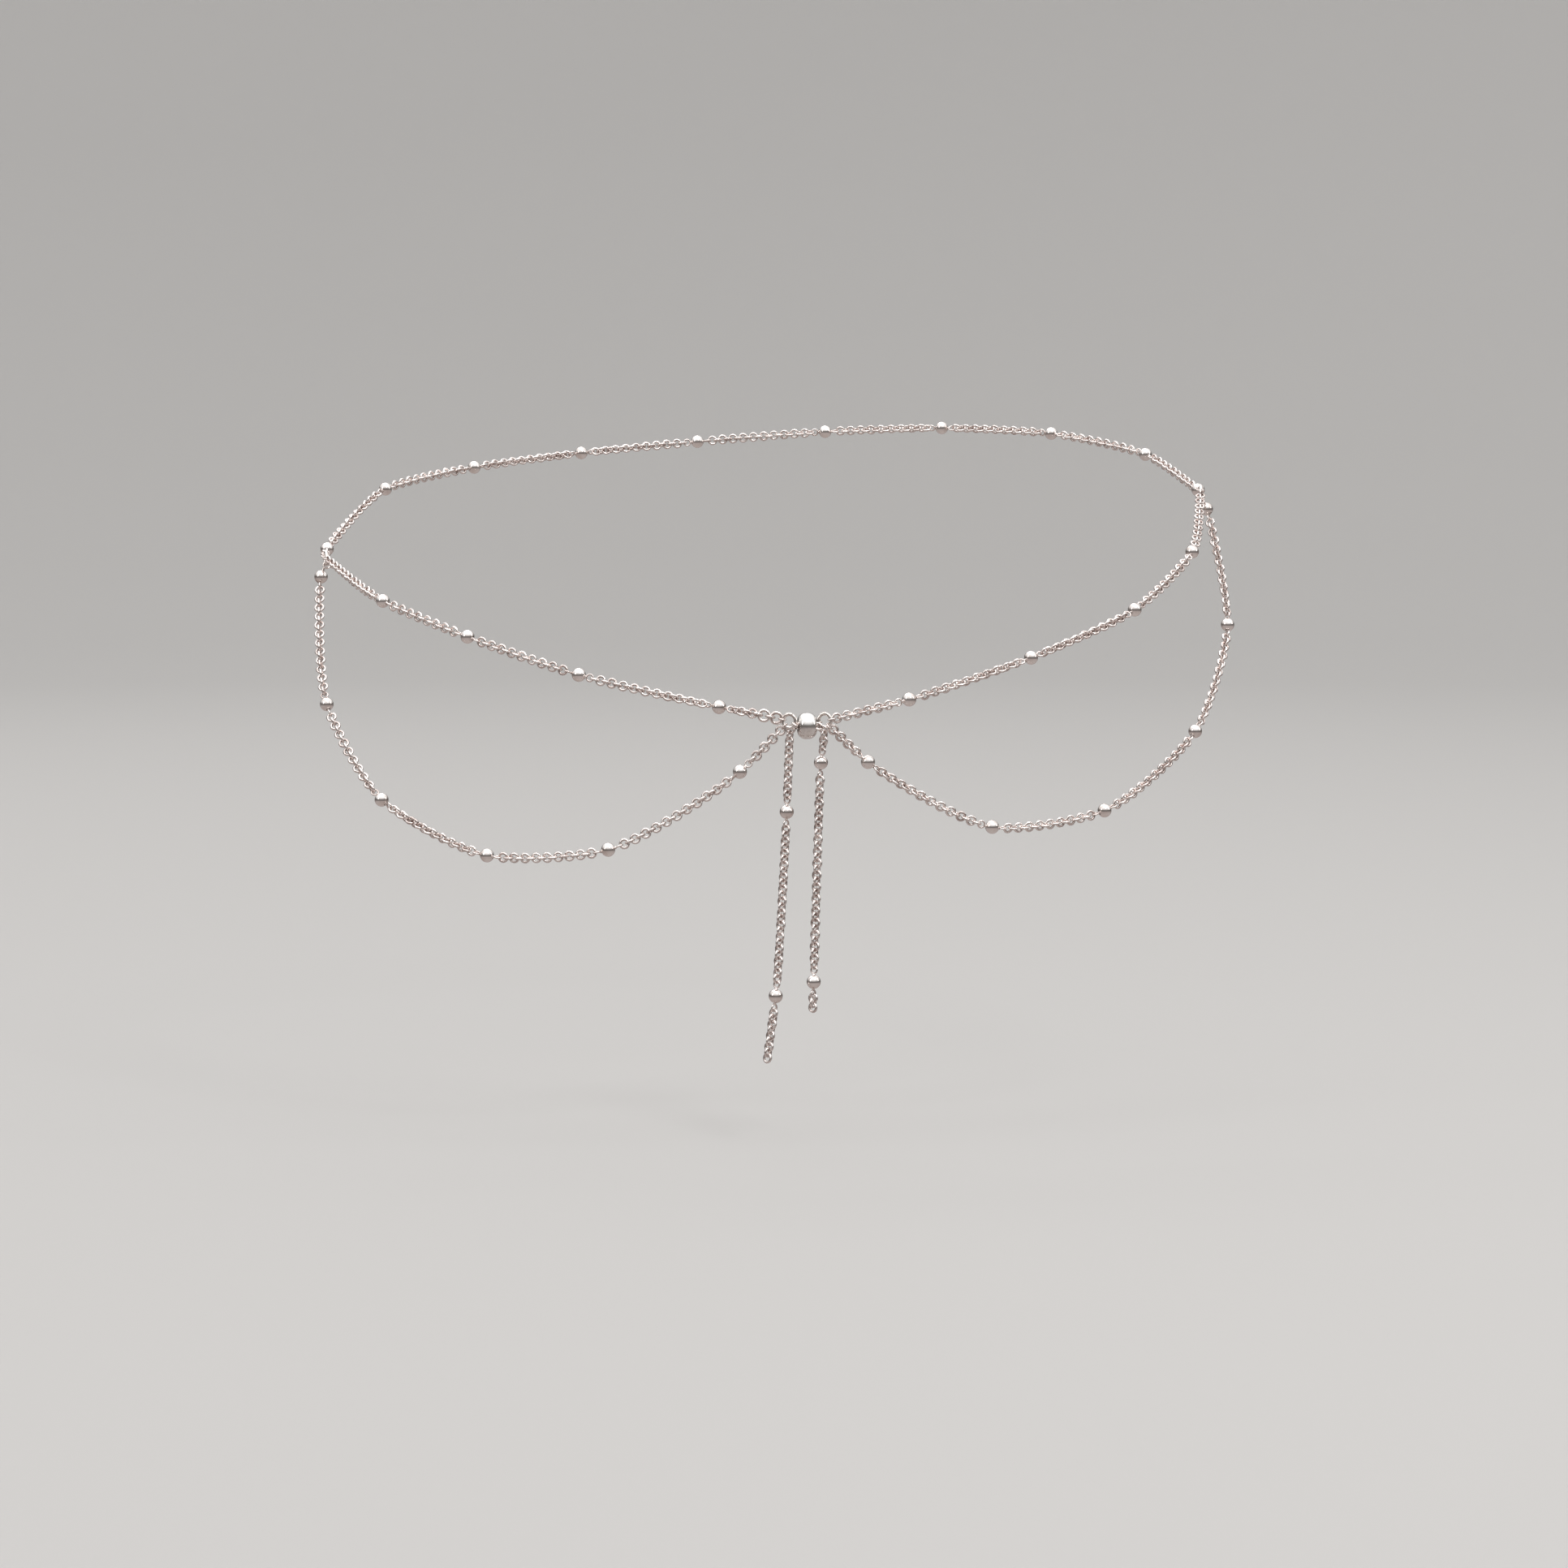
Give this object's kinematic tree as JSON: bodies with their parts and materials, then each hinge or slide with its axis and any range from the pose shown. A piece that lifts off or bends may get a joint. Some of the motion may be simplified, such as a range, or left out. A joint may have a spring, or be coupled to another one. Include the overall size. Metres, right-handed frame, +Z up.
{
  "type": "waist chain",
  "caption": "Silver satellite waist chain with a sliding bead closure, a beaded swag over each hip and hanging tails, held open in its worn shape.",
  "frame": {"origin": "middle of the loop where the wearer's waist passes, level with the middle of the slider bead", "axes": "+Z up along the wearer's body, -Y towards the slider bead, +X across the wearer to the right of the slider bead as seen from in front of it"},
  "size_m": [0.2739, 0.203, 0.1781],
  "materials": {
    "chain": "bright polished silver plate on round wire links",
    "bead": "bright polished silver plate",
    "ring": "polished silver plate with fine wear",
    "slider": "bright polished silver plate with a soft rim"
  },
  "bodies": {
    "root": {"slider_bead": "slider", "slider_ring_left": "ring", "slider_ring_right": "ring", "side_ring_left": "ring", "side_ring_right": "ring", "waist_chain_left": "chain", "waist_chain_right": "chain", "waist_chain_back": "chain", "swag_chain_left": "chain", "swag_chain_right": "chain", "tail_chain_left": "chain", "tail_chain_right": "chain", "waist_bead_left_1": "bead", "waist_bead_left_2": "bead", "waist_bead_left_3": "bead", "waist_bead_left_4": "bead", "waist_bead_right_1": "bead", "waist_bead_right_2": "bead", "waist_bead_right_3": "bead", "waist_bead_right_4": "bead", "back_bead_1": "bead", "back_bead_2": "bead", "back_bead_3": "bead", "back_bead_4": "bead", "back_bead_5": "bead", "back_bead_6": "bead", "back_bead_7": "bead", "back_bead_8": "bead", "back_bead_9": "bead", "back_bead_10": "bead", "swag_bead_left_1": "bead", "swag_bead_left_2": "bead", "swag_bead_left_3": "bead", "swag_bead_left_4": "bead", "swag_bead_left_5": "bead", "swag_bead_left_6": "bead", "swag_bead_right_1": "bead", "swag_bead_right_2": "bead", "swag_bead_right_3": "bead", "swag_bead_right_4": "bead", "swag_bead_right_5": "bead", "swag_bead_right_6": "bead", "tail_bead_left_1": "bead", "tail_bead_left_2": "bead", "tail_bead_right_1": "bead", "tail_bead_right_2": "bead"}
  },
  "joints": []
}
